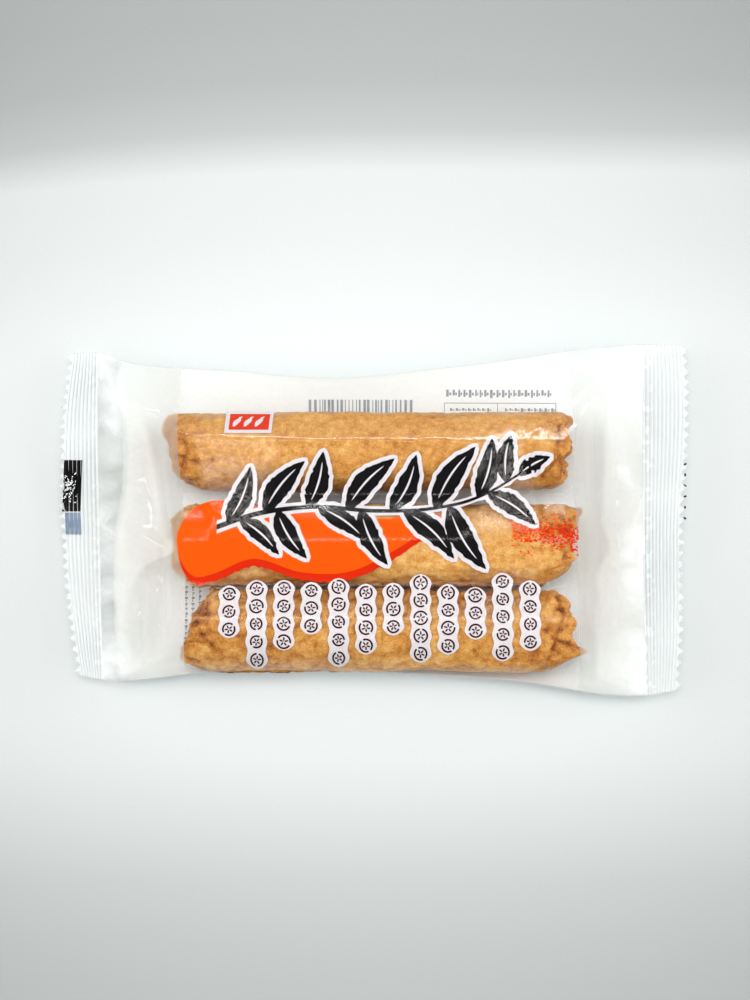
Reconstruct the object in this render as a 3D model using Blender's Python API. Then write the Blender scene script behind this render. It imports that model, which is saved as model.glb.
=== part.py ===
"""A flow-wrapped bag of three fried burdock rolls, lying flat, as one closed solid.

Metres, +Z up. X runs along the bag from its left end seal to its right one, and Y across it,
towards the far fold. The origin is on the surface that the bag lies on, under its middle.
The film is drawn over the rolls as a tent: a ridge over each roll, straight slopes down to
the two side folds and to the two crimped end seals, and a flat back with the folded back seam.
"""

import math

import bmesh
import bpy

MM = 0.001

# The bag
FILM_EDGE = 0.8 * MM  # solid thickness of the seals and of the side folds

# Side folds: places (x, y) that the smooth line of each fold passes through
FAR_FOLD = [
    (-80, 41.8), (-70, 42.2), (-64, 40.3), (-34, 37.3), (-13, 35.6), (22, 38.7), (68, 44.2), (80, 44.0)
]
NEAR_FOLD = [
    (-80, -37.6), (-68, -40.2), (-40, -38.5), (3, -38.7), (34, -40.7), (67, -44.2), (80, -41.8)
]

# End seals: how far along the bag their tooth tips and inner edges lie, from the near fold to the far one
LEFT_TIPS = [(0, -74.4), (0.15, -76.6), (0.45, -79.2), (0.6, -79.5), (0.8, -79.4), (1, -77.8)]
LEFT_INNER = [(0, -67.8), (0.5, -69.5), (1, -70.4)]
RIGHT_TIPS = [(0, 75.8), (0.15, 77.0), (0.5, 77.6), (0.8, 79.4), (0.9, 79.5), (1, 79.0)]
RIGHT_INNER = [(0, 67.4), (0.5, 67.2), (1, 68.0)]
LEFT_SEAL_HEIGHT = 4.6 * MM
RIGHT_SEAL_HEIGHT = 5.8 * MM
SEAL_WAVE = 0.7 * MM  # how far the limp seals wave up and down along their length
SEAL_WAVES = 1.5
LEFT_WAVE_START, RIGHT_WAVE_START = 0.6, 2.4  # where in its wave each seal starts, in radians
RIBS = 6  # crimp ribs across each seal
RIB_HEIGHT = 0.3 * MM
TEETH = 32
TOOTH_DEPTH = 1.1 * MM

# Rolls under the film: the y of the outer crests, and the height of all three
FAR_CREST, NEAR_CREST = 19.0 * MM, -28.2 * MM
ROLL_HEIGHT = 20.4 * MM
FAR_VALLEY, NEAR_VALLEY = 5.0 * MM, -17.5 * MM  # the y of the lowest line between two rolls
FAR_SAG, NEAR_SAG = 3.4 * MM, 2.4 * MM  # how far the film sags there
VALLEY_WIDTH = 5.4 * MM
SPANS = [(-45 * MM, -18 * MM), (20 * MM, 42 * MM)]  # from and to, in x, where the film spans it flat
SPAN_RUN = 6 * MM  # length over which a span goes over into a valley
SPAN_FLATNESS = 0.9
CREST_X_LEFT, CREST_X_RIGHT = -46.5 * MM, 46.0 * MM  # where the roof starts to fall to each seal

# Side folds: height above the floor halfway along
FAR_FOLD_HEIGHT, NEAR_FOLD_HEIGHT = 6.5 * MM, 9.0 * MM

# How round the film is from its edge to the roof, and on the back: 1 is straight, 2 is round
FAR_ROUND, NEAR_ROUND, END_ROUND = 1.15, 2.0, 1.15
BACK_ROUND = 1.25
BACK_FAR_Y, BACK_NEAR_Y = 21.0 * MM, -30.0 * MM  # the back leaves the floor past these lines
BACK_X_LEFT, BACK_X_RIGHT = -54.0 * MM, 52.0 * MM
CREASE = 5  # how sharply two slopes meet: a higher power is sharper
FOLD_RUN = 24 * MM  # length over which a side fold comes down to its seal's height

# Pleats that the seals gather the film into
PLEATS = 7
PLEAT_HEIGHT = 0.9 * MM
RIGHT_PLEAT_START = 1.7  # where in their wave the right seal's pleats start, in radians
OPENING = 4  # the pleats reach their full height where the film has risen by one part in this many

# Back seam: a flap of two layers, folded flat along the middle of the back
SEAM_FROM, SEAM_TO = 0.48, 0.67  # shares of the way from near fold to far fold
SEAM_THICKNESS = 0.5 * MM
SEAM_MARGIN = 0.06  # width beside the seam that it holds off the floor, as a share

# Mesh
COLUMNS_OVER_ROLLS = 34
END_CLOSENESS = 0.55  # columns stand this much closer near the seals, where the film is steepest
ROWS = TEETH
FLAT_ANGLE = math.radians(0.6)


def through(points, at):
    """A smooth value at a place, on the curve through the (place, value) points."""
    last = len(points) - 2
    k = 0
    while k < last and at > points[k + 1][0]:
        k += 1
    before, start, end, after = (points[min(max(i, 0), last + 1)] for i in (k - 1, k, k + 1, k + 2))
    run = end[0] - start[0]
    share = min(max((at - start[0]) / run, 0.0), 1.0)
    slope_start = (end[1] - before[1]) / max(end[0] - before[0], run) * run
    slope_end = (after[1] - start[1]) / max(after[0] - start[0], run) * run
    squared, cubed = share * share, share**3
    return (
        (2 * cubed - 3 * squared + 1) * start[1]
        + (cubed - 2 * squared + share) * slope_start
        + (3 * squared - 2 * cubed) * end[1]
        + (cubed - squared) * slope_end
    )


def ease(share):
    """A smooth step from 0 to 1."""
    share = min(max(share, 0.0), 1.0)
    return share * share * (3 - 2 * share)


def rise(share, roundness):
    """How far a film has risen to its roof, a share of the way from its edge to the crest."""
    share = min(max(share, 0.0), 1.0)
    return (1 - (1 - share) ** roundness) ** (1 / roundness)


def meet(rises):
    """Where several slopes meet, the lowest one, with a slightly rounded crease between them."""
    return max(0.0, 1 - sum((1 - r) ** CREASE for r in rises) ** (1 / CREASE))


def stations():
    """Shares of the bag's length for the columns, as (part, share): close together at the ribs."""
    per_seal = 2 * RIBS
    seal_left = [("left", i / per_seal) for i in range(per_seal)]
    even = [i / COLUMNS_OVER_ROLLS for i in range(COLUMNS_OVER_ROLLS)]
    rolls = [("rolls", s - END_CLOSENESS * math.sin(2 * math.pi * s) / (2 * math.pi)) for s in even]
    seal_right = [("right", i / per_seal) for i in range(per_seal + 1)]
    return seal_left + rolls + seal_right


def along(part, share, across):
    """The x of a column, at a share of the way across the bag. The cut edges are at the teeth's roots."""
    left_root = through(LEFT_TIPS, across) * MM + TOOTH_DEPTH
    left_inner = through(LEFT_INNER, across) * MM
    right_inner = through(RIGHT_INNER, across) * MM
    right_root = through(RIGHT_TIPS, across) * MM - TOOTH_DEPTH
    start, end = {
        "left": (left_root, left_inner),
        "rolls": (left_inner, right_inner),
        "right": (right_inner, right_root),
    }[part]
    return start + (end - start) * share


def fold_line(points, x):
    return through(points, x / MM) * MM


def edge_height(x, across):
    """Height of the film's middle line where its two layers meet, blended across the bag."""
    seal = LEFT_SEAL_HEIGHT if x < 0 else RIGHT_SEAL_HEIGHT
    wave_start = LEFT_WAVE_START if x < 0 else RIGHT_WAVE_START
    seal += SEAL_WAVE * math.sin(2 * math.pi * SEAL_WAVES * across + wave_start)
    inner = abs(through(LEFT_INNER if x < 0 else RIGHT_INNER, across)) * MM
    inwards = ease((inner - abs(x)) / FOLD_RUN)
    side = NEAR_FOLD_HEIGHT + (FAR_FOLD_HEIGHT - NEAR_FOLD_HEIGHT) * across
    return seal + (side - seal) * inwards


def roof(x, y):
    """Height of the film over the rolls: it sags between them, but not where it spans the valley flat."""
    spanned = sum(ease((x - start) / SPAN_RUN) * ease((end - x) / SPAN_RUN) for start, end in SPANS)
    far_sag = FAR_SAG * (1 - SPAN_FLATNESS * spanned) * math.exp(-(((y - FAR_VALLEY) / VALLEY_WIDTH) ** 2))
    near_sag = NEAR_SAG * math.exp(-(((y - NEAR_VALLEY) / VALLEY_WIDTH) ** 2))
    return ROLL_HEIGHT - far_sag - near_sag


def film_heights(part, share, x, y, across):
    """Top and bottom of the solid at one place."""
    middle = edge_height(x, across)
    if part != "rolls" or share == 0:
        column = round(share * 2 * RIBS)
        rib = RIB_HEIGHT * (0.5 if column % 2 else -0.5)
        return middle + FILM_EDGE / 2 + rib, middle - FILM_EDGE / 2 + rib
    near, far = fold_line(NEAR_FOLD, x), fold_line(FAR_FOLD, x)
    left, right = (through(inner, across) * MM for inner in (LEFT_INNER, RIGHT_INNER))

    end_rise = min((x - left) / (CREST_X_LEFT - left), (right - x) / (right - CREST_X_RIGHT))
    front = meet([
        rise((far - y) / (far - FAR_CREST), FAR_ROUND),
        rise((y - near) / (NEAR_CREST - near), NEAR_ROUND),
        rise(end_rise, END_ROUND),
    ])
    back = meet([
        rise((far - y) / (far - BACK_FAR_Y), BACK_ROUND),
        rise((y - near) / (BACK_NEAR_Y - near), NEAR_ROUND),
        rise((x - left) / (BACK_X_LEFT - left), BACK_ROUND),
        rise((right - x) / (right - BACK_X_RIGHT), BACK_ROUND),
    ])
    low, high = middle - FILM_EDGE / 2, middle + FILM_EDGE / 2
    top = high + (roof(x, y) - high) * front

    end_share = min(max(end_rise, 0.0), 1.0)
    gather = 4 * end_share * (1 - end_share) ** 2 * ease(front * OPENING)
    pleat = math.cos(2 * math.pi * PLEATS * across + (0 if x < 0 else RIGHT_PLEAT_START))
    top += PLEAT_HEIGHT * gather * pleat

    bottom = low * (1 - back)
    from_seam = max(SEAM_FROM - across, across - SEAM_TO)
    if 0 < from_seam < SEAM_MARGIN:
        bottom = max(bottom, SEAM_THICKNESS * back)
    return top, bottom


def bag_mesh():
    """The bag: one flat sheet of cells, thickened, then drawn out to its folds, seals and roof."""
    columns = stations()
    bm = bmesh.new()
    bmesh.ops.create_grid(bm, x_segments=len(columns) - 1, y_segments=ROWS, size=1)
    place = bm.verts.layers.int.new("place")
    for vert in bm.verts:
        column = round((vert.co.x + 1) / 2 * (len(columns) - 1))
        row = round((vert.co.y + 1) / 2 * ROWS)
        vert[place] = column * (ROWS + 1) + row
    lower = list(bm.faces)
    lifted = bmesh.ops.extrude_face_region(bm, geom=lower, use_keep_orig=True)["geom"]
    front = {item for item in lifted if isinstance(item, bmesh.types.BMVert)}

    for vert in bm.verts:
        column, row = divmod(vert[place], ROWS + 1)
        part, share = columns[column]
        across = row / ROWS
        x = along(part, share, across)
        near, far = fold_line(NEAR_FOLD, x), fold_line(FAR_FOLD, x)
        y = near + (far - near) * across
        top, bottom = film_heights(part, share, x, y, across)
        vert.co = (x, y, top if vert in front else bottom)

    cut_teeth(bm, place, len(columns) - 1)
    bmesh.ops.recalc_face_normals(bm, faces=bm.faces)
    flat = [e for e in bm.edges if max(v.co.z for v in e.verts) < 1e-7]
    bmesh.ops.dissolve_limit(bm, angle_limit=FLAT_ANGLE, verts=[], edges=flat)
    bmesh.ops.triangulate(bm, faces=bm.faces)
    mesh = bpy.data.meshes.new("film_bag")
    bm.to_mesh(mesh)
    bm.free()
    return mesh


def cut_teeth(bm, place, last_column):
    """Zigzag cut edges: a tip halfway along each cell's edge, out past the teeth's roots."""
    for column, outwards in ((0, -1), (last_column, 1)):
        on_cut = {v for v in bm.verts if v[place] // (ROWS + 1) == column}
        edges = [
            e
            for e in bm.edges
            if all(v in on_cut for v in e.verts) and e.verts[0][place] != e.verts[1][place]
        ]
        made = bmesh.ops.subdivide_edges(bm, edges=edges, cuts=1)["geom_inner"]
        for vert in made:
            if isinstance(vert, bmesh.types.BMVert):
                vert.co.x += outwards * TOOTH_DEPTH


def film_material():
    """Clear laminated film with white print, which reads as pale and glossy."""
    material = bpy.data.materials.new("clear_and_white_film")
    material.use_nodes = True
    shader = material.node_tree.nodes["Principled BSDF"]
    shader.inputs["Base Color"].default_value = (0.80, 0.80, 0.77, 1)
    shader.inputs["Roughness"].default_value = 0.2
    shader.inputs["Metallic"].default_value = 0
    return material


def main():
    for old in list(bpy.data.objects):
        bpy.data.objects.remove(old)
    mesh = bag_mesh()
    mesh.materials.append(film_material())
    mesh.shade_smooth()
    mesh.set_sharp_from_angle(angle=math.radians(35))
    bag = bpy.data.objects.new("film_bag", mesh)
    bpy.context.scene.collection.objects.link(bag)


main()
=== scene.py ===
"""The looks of a flow-wrapped bag of three fried burdock rolls: film, print, rolls, floor and light.

Lengths in this script are millimetres until a mesh is finished, then metres. X runs along the bag
from its left seal to its right one, Y across it towards the far fold, and Z up.
"""

import itertools
import math

import bmesh
import bpy
import numpy as np
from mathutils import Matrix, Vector


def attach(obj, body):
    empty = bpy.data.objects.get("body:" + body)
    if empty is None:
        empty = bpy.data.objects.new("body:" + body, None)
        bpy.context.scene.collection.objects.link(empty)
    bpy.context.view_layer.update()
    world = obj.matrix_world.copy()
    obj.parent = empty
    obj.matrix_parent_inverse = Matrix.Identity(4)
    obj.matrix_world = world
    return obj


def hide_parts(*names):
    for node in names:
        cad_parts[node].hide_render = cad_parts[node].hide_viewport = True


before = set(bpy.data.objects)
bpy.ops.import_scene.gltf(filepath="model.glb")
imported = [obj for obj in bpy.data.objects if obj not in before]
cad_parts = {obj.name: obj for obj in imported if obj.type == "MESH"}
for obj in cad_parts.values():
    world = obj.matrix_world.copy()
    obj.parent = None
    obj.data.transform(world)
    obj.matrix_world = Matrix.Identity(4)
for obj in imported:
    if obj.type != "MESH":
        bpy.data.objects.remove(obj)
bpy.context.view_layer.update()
BAG = "film_bag"
MM = 0.001

# ---------------------------------------------------------------- the bag's named sizes

# Side folds: places (x, y) that the smooth line of each fold passes through
FAR_FOLD = [
    (-80, 41.8), (-70, 42.2), (-64, 40.3), (-34, 37.3), (-13, 35.6), (22, 38.7), (68, 44.2), (80, 44.0),
]
NEAR_FOLD = [(-80, -37.6), (-68, -40.2), (-40, -38.5), (3, -38.7), (34, -40.7), (67, -44.2), (80, -41.8)]

# End seals: how far along the bag their tooth tips and inner edges lie, by share of the way across
LEFT_TIPS = [(0, -74.4), (0.15, -76.6), (0.45, -79.2), (0.6, -79.5), (0.8, -79.4), (1, -77.8)]
LEFT_INNER = [(0, -67.8), (0.5, -69.5), (1, -70.4)]
RIGHT_TIPS = [(0, 75.8), (0.15, 77.0), (0.5, 77.6), (0.8, 79.4), (0.9, 79.5), (1, 79.0)]
RIGHT_INNER = [(0, 67.4), (0.5, 67.2), (1, 68.0)]
SEAL_HEIGHTS = (4.6, 5.8)  # left, right
SEAL_WAVE = 0.7
SEAL_WAVES = 1.5
RIBS = (8, 10)  # crimp ribs across the left and the right seal
RIB_HEIGHT = 0.3
COLUMNS_PER_RIB = 4
TEETH = 32
ROWS_PER_TOOTH = 6
TOOTH_DEPTH = 1.5
FILM_GAP = 0.12  # between the two films where they are sealed or folded

# The film over the rolls
FAR_CREST_LINE = [(-60, 18.6), (-45, 18.6), (-20, 18.0), (5, 17.9), (38, 17.3), (60, 17.3)]  # (x, y)
NEAR_CREST = -28.2
CREST_LEFT, CREST_RIGHT = -46.5, 46.0
FAR_FOLD_HEIGHT, NEAR_FOLD_HEIGHT = 6.5, 9.0
FAR_ROUND, NEAR_ROUND, END_ROUND, BACK_ROUND = 1.12, 2.0, 1.15, 1.25
BACK_FAR, BACK_NEAR, BACK_LEFT, BACK_RIGHT = 21.0, -30.0, -54.0, 52.0
FRONT_CREASE, BACK_CREASE = 6, 5  # how sharply slopes meet
FOLD_RUN = 24
PLEATS = 7
PLEAT_HEIGHT = 0.9

# Across the roof: the film dips between the rolls, as (y, height) from crease to crease
CLINGING = [(-60, 17.2), (-25.5, 20.6), (-17.5, 18.6), (-7.5, 20.5), (-2.5, 20.0), (4.8, 17.4), (11.5, 19.6),
            (18, 20.6), (60, 20.6)]
BRIDGING = [(-60, 17.2), (-25.5, 20.6), (-17.5, 18.6), (-8.0, 20.1), (-4.4, 20.45), (18, 20.6), (60, 20.6)]
CREASE_RADII = [(-60, 2.4), (-9, 2.4), (-4.4, 0.9), (8, 2.0), (15.5, 0.6), (60, 0.6)]

# Where the film spans flat from the far roll to the middle one, as lines (y, x) of the span's two ends,
# and how far along the bag it takes to lift off at each end
LEFT_SPAN = (
    [(-6, -41), (1.5, -41.3), (6, -42.8), (16.5, -44.5), (30, -44.5)],
    [(-6, -22), (10, -18.5), (30, -16)],
    (1.0, 9.0),
)
RIGHT_SPAN = (
    [(-6, 19), (6, 20), (17, 24.5), (30, 25)],
    [(-6, 40), (1.5, 40.7), (6.3, 40.4), (13, 37.3), (18, 37.6)],
    (7.0, 1.0),
)

# Folds and creases in the film: points (x, y), height, and reach to either side
CREASES = [
    ([(-62.5, 21.0), (-61.0, 19.8), (-57.2, 17.3), (-56.5, 8.5), (-53.5, -2.5), (-50.9, -9.0)], -2.3, 6.5),
    ([(-50.9, -9.0), (-57.0, -5.5), (-63.5, -3.5)], 0.9, 4.0),
    ([(-55.5, -9.0), (-57.0, -22.0), (-57.5, -36.0)], -1.7, 6.0),
    ([(-53.5, 29.0), (-53.8, 12.0), (-52.0, -6.0), (-51.0, -32.0)], -2.0, 4.5),
    ([(54.0, 28.0), (54.5, 10.0), (55.0, -5.0), (54.5, -32.0)], -2.2, 5.5),
    ([(-69.8, 37.0), (-66.5, 31.0), (-63.8, 25.5)], 0.8, 2.5),
    ([(-69.5, 25.0), (-66.5, 20.0), (-63.5, 16.5)], -0.7, 2.5),
    ([(-69.5, 12.2), (-66.0, 12.6), (-62.5, 12.0)], 0.8, 2.0),
    ([(-68.0, -1.3), (-64.0, -5.3)], 0.7, 1.4),
    ([(-69.2, -11.3), (-65.8, -15.2)], 0.6, 1.6),
    ([(-68.3, -40.0), (-63.0, -37.8)], 0.6, 1.3),
    ([(-48.5, 20.3), (-44.0, 19.0), (-36.0, 19.2)], 0.25, 1.0),
    ([(-45.5, 17.7), (-43.7, 7.0), (-42.0, 2.7), (-38.0, -0.5)], 0.35, 1.1),
    ([(-66.5, 33.0), (-62.0, 29.0), (-54.0, 24.5)], 0.5, 3.0),
    ([(-55.5, 33.0), (-50.0, 28.5), (-47.0, 25.5)], 0.25, 2.4),
    ([(-66.0, -16.0), (-59.0, -14.5), (-53.0, -18.5)], 0.5, 3.0),
    ([(-66.0, -26.0), (-58.0, -25.0), (-53.5, -28.0)], 0.45, 3.0),
    ([(38.5, 19.2), (39.9, 21.0), (40.0, 24.0), (39.2, 29.0)], 0.3, 1.3),
    ([(46.2, 31.6), (48.5, 28.0), (54.8, 35.0), (60.5, 37.9)], 0.45, 1.8),
    ([(49.2, 41.0), (49.3, 37.0), (47.0, 33.5)], 0.4, 1.6),
    ([(49.2, 41.0), (53.6, 39.2), (60.0, 37.5)], 0.35, 1.8),
    ([(66.5, 42.5), (63.6, 38.0), (61.8, 31.0), (60.4, 20.7), (59.2, 11.2), (60.1, 7.4), (58.9, -0.3)],
     -2.5, 7.5),
    ([(58.9, -0.3), (59.5, -14.0), (60.5, -27.0), (61.5, -39.0)], -1.9, 7.0),
    ([(58.7, -1.1), (63.4, -1.7), (65.5, -3.9)], 0.55, 2.2),
    ([(58.7, -1.1), (60.5, -8.0), (63.0, -10.5)], 0.5, 2.2),
    ([(57.8, -12.9), (60.3, -11.4), (66.0, -11.0)], 0.6, 2.4),
    ([(45.0, -10.0), (46.5, -13.5), (44.5, -17.5)], 0.3, 1.1),
    ([(42.0, -11.0), (43.5, -16.0), (40.5, -19.5)], 0.25, 1.2),
    ([(61.5, -41.2), (63.7, -39.6), (66.8, -43.0)], 0.6, 2.0),
    ([(-47.0, 37.5), (-30.0, 33.5), (-12.0, 32.5), (6.0, 34.6)], 0.25, 2.5),
]
FOLD_SHARPNESS = 1.8  # how steeply a fold falls away beside its line
GATHERS = 26  # small gathers across each seal's inner edge
GATHER_HEIGHTS = (0.015, 0.04)  # left, right
RIPPLE_HEIGHT, RIPPLE_SIZE = 0.04, 3.1

# Crumpled facets near the seals: length and width of a facet, its slant, and its height
FACETS = [(13.0, 6.5, 0.35, 0.7), (6.0, 3.4, -0.3, 0.28)]

# White ink inside the film: where it ends along the bag, as (share across, x)
WHITE_LEFT = [(0, -63.6), (0.45, -64.6), (0.62, -62.7), (0.8, -63.0), (0.93, -65.0), (1, -64.2)]
WHITE_RIGHT = [(0, 67.2), (0.5, 67.0), (1, 67.8)]
WINDOW_LEFT = [(0, -46.4), (0.5, -46.6), (0.7, -48.2), (1, -48.6)]
WINDOW_RIGHT = [(0, 49.9), (0.5, 49.1), (1, 48.6)]

# Where a grey painted shade lies on the white ink of the front film beside the rolls, as (y, x)
PAINTED_SHADE_LEFT = [
    (-42, -61.0), (-17, -60.5), (-12, -57.0), (-9.4, -50.6), (-5, -52.6), (4, -54.4), (14, -56.0),
    (22, -58.0), (34, -61.0), (42, -61.5),
]
PAINTED_SHADE_RIGHT = [
    (-42, 55.0), (-20, 56.0), (-13.5, 56.3), (-9, 58.8), (-1, 57.6), (12, 58.0), (32, 60.7), (41, 66.0),
]
PAINTED_SHADE_EDGE = 2.4  # how softly the painted shade ends

# How far each layer of ink lies from the outside of the film: inside the front film down to white_front,
# then on the seals, inside the back film and on the outside of the back film
INK_DEPTHS = {
    "leaf_veins": 0.04,
    "label_leaves": 0.05,
    "black_twig": 0.06,
    "black_leaves": 0.08,
    "caption_slices": 0.08,
    "label_red": 0.10,
    "leaf_borders_1": 0.11,
    "leaf_borders_2": 0.125,
    "leaf_borders_3": 0.14,
    "caption_columns": 0.14,
    "label_border": 0.14,
    "twig_border": 0.155,
    "dry_flecks_red": 0.16,
    "orange_band": 0.17,
    "dry_flecks_orange": 0.18,
    "orange_band_shade": 0.19,
    "white_front": 0.23,
    "cut_mark": 0.03,
    "cut_mark_end": 0.03,
    "tooth_dots": 0.03,
    "worn_flecks": 0.05,
    "white_back_panel": 0.06,
    "back_stripes_show_through": 0.10,
    "back_table_show_through": 0.10,
    "back_stripes": 0.04,
    "back_table": 0.04,
}
PRINT_CELL, SEAL_PRINT_CELL = 0.75, 0.26  # longest side of a printed cell, over the rolls and on the seals

# Back seam: a flap folded flat on the back, from and to a share of the way across
SEAM_FROM, SEAM_TO, SEAM_MARGIN = 0.48, 0.67, 0.06
SEAM_ROOM = 0.5
SEAM_GAP, SEAM_THICK, SEAM_RIB = 0.1, 0.16, 0.05
OFF_FLOOR = 0.02

# Rolls: centre y, half width and height, a seed, how rough and how dark the skin is, and how far each end
# reaches, as (y, x)
ROLLS = {
    "fried_roll_far": dict(
        y=16.3, wide=9.6, high=9.95, seed=11, rough=0.8, dark=0.02,
        left=[
            (6.5, -44.0), (9.2, -48.3), (13, -50), (17.3, -50.8), (22, -51.8), (25.8, -51.8), (27.3, -50.4),
        ],
        right=[
            (6, 42.5), (7.5, 45.8), (10.8, 47), (14.3, 47), (17.8, 48.5), (21.5, 47.6), (24, 49.4),
            (27, 47.5),
        ],
    ),
    "fried_roll_middle": dict(
        y=-7.1, wide=10.3, high=9.95, seed=23, rough=1.0, dark=-0.03,
        left=[(-17.2, -46.0), (-14.5, -48.8), (-7, -49.6), (0, -49.0), (2.8, -46.8)],
        right=[
            (-16.5, 43.5), (-15, 45.4), (-11.8, 48.7), (-9.8, 48.2), (-3.5, 49), (-1, 50.2), (2.5, 51.9),
            (3.4, 51),
        ],
    ),
    "fried_roll_near": dict(
        y=-28.2, wide=10.2, high=9.95, seed=37, rough=1.3, dark=0.07,
        left=[
            (-38, -42.5), (-36, -46.6), (-34.2, -47.8), (-30, -46.2), (-25.8, -44.4), (-22, -42.8),
            (-17.8, -40.5),
        ],
        right=[
            (-38, 43.5), (-35.5, 47.7), (-33.6, 51.6), (-32.5, 50.3), (-26.8, 48.5), (-21.8, 47.5), (-17, 45),
        ],
    ),
}
NOMINAL_END = 48.0  # half the length of a roll before its ends get their real outline
SQUARENESS = 2.35  # 2 is round, more is squarer
UNDER_ROLL, OVER_ROLL = 0.25, 0.38  # room between a roll and the film's outside, below and above it

# Folds in the fried skin on top of the rolls: points (x, y), depth and reach
SKIN_FOLDS = [
    ([(-43.8, -26.0), (-41.5, -30.0), (-39.3, -33.0)], 0.8, 1.3),
    ([(-46.0, -22.5), (-42.5, -24.5), (-38.0, -24.0)], 0.5, 1.2),
    ([(44.5, -20.0), (45.6, -25.5), (43.8, -31.0), (47.5, -32.5)], 0.7, 1.2),
    ([(39.5, -27.5), (43.8, -31.0), (42.0, -36.0)], 0.5, 1.2),
    ([(45.5, 21.5), (44.5, 16.0), (45.8, 10.5)], 0.5, 1.2),
    ([(41.0, 9.0), (44.5, 13.0), (48.0, 13.6)], 0.45, 1.2),
    ([(46.0, 0.5), (44.8, -6.0), (46.2, -11.0)], 0.5, 1.2),
    ([(47.6, -4.5), (43.0, -3.0), (40.5, -9.0)], 0.4, 1.2),
    ([(-47.5, 20.0), (-46.0, 15.5), (-47.0, 11.0)], 0.5, 1.2),
    ([(-48.5, 14.5), (-44.0, 12.5), (-38.0, 13.0)], 0.4, 1.1),
]

# Black print, a brushed leafy branch: its twig, and its leaves as (x, direction, length, width, bend)
TWIG = [(-38.5, -3.5), (-30.0, -0.6), (-16.0, 1.6), (0.0, 0.6), (14.0, 1.2), (27.0, 4.6), (35.5, 9.6)]
LEAVES = [
    (-36.0, 68, 15, 5.4, -1.0), (-33.0, -42, 13, 4.8, 0.9), (-27.0, 52, 16, 5.8, 1.1),
    (-24.0, -58, 14, 5.4, -0.9), (-16.5, 74, 14, 5.6, -0.9), (-14.0, -36, 15, 5.2, 1.0),
    (-7.0, 46, 17, 6.0, 1.2), (-3.5, -64, 15, 5.6, -1.0), (4.0, 66, 15, 5.8, -1.1),
    (7.0, -44, 17, 6.0, 1.2), (14.5, 56, 18, 6.2, 1.2), (18.0, -60, 18, 6.4, -1.3),
    (25.0, 76, 15, 5.6, -1.0), (27.5, -34, 14, 5.2, 0.9), (32.0, 84, 12, 5.0, 0.8),
    (35.0, 30, 9, 4.2, 0.5),
]
LEAF_BORDER = 1.0
TWIG_WIDE, TWIG_BORDER_WIDE = 1.3, 3.2

# Painted shade of the paper along Y, in metres: it is painted darker near the edges of the light tent, whose
# far edge leans nearer on the left, and painted dimmer towards both sides
PAINTED_PAPER_SHADE = [
    (-0.18, 0.435), (-0.1154, 0.462), (-0.1044, 0.487), (-0.0898, 0.535), (-0.075, 0.622), (-0.0602, 0.705),
    (-0.0502, 0.736), (0.0, 0.785), (0.045, 0.80), (0.0593, 0.752), (0.0724, 0.717), (0.0829, 0.705),
    (0.0907, 0.70), (0.0945, 0.63), (0.1013, 0.50), (0.1146, 0.428), (0.1306, 0.403), (0.17, 0.385),
]
TENT_LEAN = 0.7
PAPER_LEVEL, SIDE_DIM, DIMMEST = 0.900, 11.0, 0.62


# ---------------------------------------------------------------- small maths

def curve(points):
    """A smooth line through (place, value) points, as a function of place."""
    places, values = np.array(points, float).T
    slopes = np.gradient(values, places)

    def at(place):
        place = np.clip(place, places[0], places[-1])
        k = np.clip(np.searchsorted(places, place, side="right") - 1, 0, len(places) - 2)
        run = places[k + 1] - places[k]
        t = (place - places[k]) / run
        from_start = (1 + 2 * t) * (1 - t) ** 2 * values[k] + t * (1 - t) ** 2 * run * slopes[k]
        from_end = t**2 * (3 - 2 * t) * values[k + 1] + t**2 * (t - 1) * run * slopes[k + 1]
        return from_start + from_end

    return at


def creased(points, radii):
    """Straight lines between (place, value) points, each corner rounded by the radius given for its place."""
    places, values = np.array(points, float).T
    fine = np.arange(places[0], places[-1], 0.1)
    radius = np.interp(fine, *np.array(radii, float).T)
    around = np.linspace(-2, 2, 17)
    weights = np.exp(-(around**2))
    spread = [np.interp(fine + a * radius, places, values) for a in around]
    rounded = np.tensordot(weights / weights.sum(), spread, axes=1)
    return lambda place: np.interp(place, fine, rounded)


def ease(share):
    share = np.clip(share, 0, 1)
    return share * share * (3 - 2 * share)


def rise(share, roundness):
    """How far a film has risen to its roof, a share of the way from its edge to the crest."""
    return (1 - (1 - np.clip(share, 0, 1)) ** roundness) ** (1 / roundness)


def meet(rises, crease):
    """Where several slopes meet, the lowest one, with a slightly rounded crease between them."""
    return np.maximum(0, 1 - sum((1 - r) ** crease for r in rises) ** (1 / crease))


def noise(points, size, seed):
    """Smooth random values between -1 and 1 at points (n, 3), in bumps of about a given size."""
    table = np.random.default_rng(seed).uniform(-1, 1, 4096)
    points = np.asarray(points, float) / size + 1000
    cell = np.floor(points).astype(np.int64)
    share = points - cell
    share = share * share * (3 - 2 * share)
    total = 0
    for corner in itertools.product((0, 1), repeat=3):
        x, y, z = (cell + corner).T
        picked = table[((x * 73856093) ^ (y * 19349663) ^ (z * 83492791)) & 4095]
        total = total + picked * np.prod(np.where(corner, share, 1 - share), axis=1)
    return total


def noise_on_film(x, y, size, seed):
    flat = np.stack([np.ravel(x), np.ravel(y), np.zeros(np.size(x))], axis=1)
    return noise(flat, size, seed).reshape(np.shape(x))


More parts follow.
